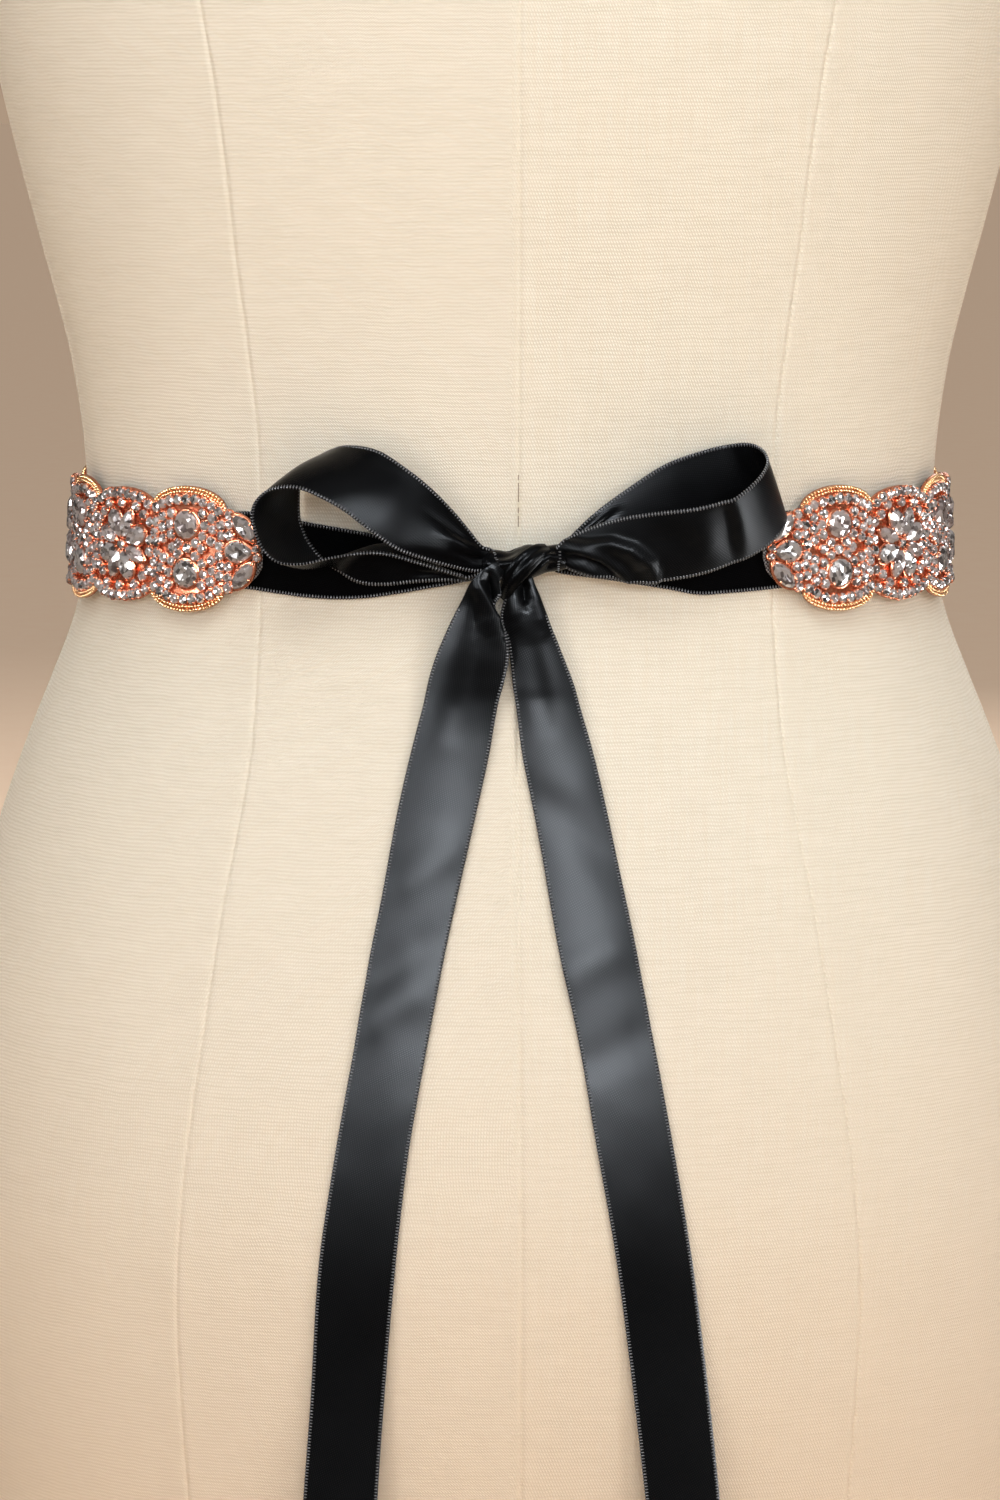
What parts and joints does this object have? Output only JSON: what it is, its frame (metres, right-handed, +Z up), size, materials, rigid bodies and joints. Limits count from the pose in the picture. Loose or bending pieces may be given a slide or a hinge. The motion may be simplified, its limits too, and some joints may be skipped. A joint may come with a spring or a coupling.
{
  "type": "rhinestone belt on dress form",
  "caption": "Waist belt of rose-gold rhinestone motifs on black satin ribbon, tied in a bow with hanging tails at the back of a limbless linen dress form.",
  "frame": {"origin": "centre of the flat underside of the dress form, on the surface it stands on", "axes": "+Z up, from the hips to the neck; -Y is the back of the form, where the bow is tied and which the picture shows; +X is to the right of a viewer behind the form"},
  "size_m": [0.344, 0.2529, 0.8253],
  "materials": {
    "linen": "cream plain-weave linen, matt",
    "black_satin": "black double-faced satin ribbon",
    "clear_mesh": "sheer pale mesh backing",
    "rose_gold_jewels": "rose-gold settings with clear foil-backed stones"
  },
  "bodies": {
    "root": {"form_body": "linen", "neck_cap": "linen", "arm_plate_left": "linen", "arm_plate_right": "linen", "ribbon_round": "black_satin", "ribbon_back_left": "black_satin", "ribbon_back_right": "black_satin", "bow_loop_left": "black_satin", "bow_loop_right": "black_satin", "bow_knot": "black_satin", "bow_strap": "black_satin", "tail_left": "black_satin", "tail_right": "black_satin", "applique_backing": "clear_mesh", "end_cap_left": "rose_gold_jewels", "end_cap_right": "rose_gold_jewels", "motif_01_pair": "rose_gold_jewels", "motif_02_flower": "rose_gold_jewels", "motif_03_pair": "rose_gold_jewels", "motif_04_flower": "rose_gold_jewels", "motif_05_pair": "rose_gold_jewels", "motif_06_flower": "rose_gold_jewels", "motif_07_pair": "rose_gold_jewels", "motif_08_flower": "rose_gold_jewels", "motif_09_pair": "rose_gold_jewels", "motif_10_flower": "rose_gold_jewels", "motif_11_pair": "rose_gold_jewels", "motif_12_flower": "rose_gold_jewels", "motif_13_pair": "rose_gold_jewels", "motif_14_flower": "rose_gold_jewels", "motif_15_pair": "rose_gold_jewels", "motif_16_flower": "rose_gold_jewels", "motif_17_pair": "rose_gold_jewels", "motif_18_flower": "rose_gold_jewels", "motif_19_pair": "rose_gold_jewels", "motif_20_flower": "rose_gold_jewels", "motif_21_pair": "rose_gold_jewels"}
  },
  "joints": []
}
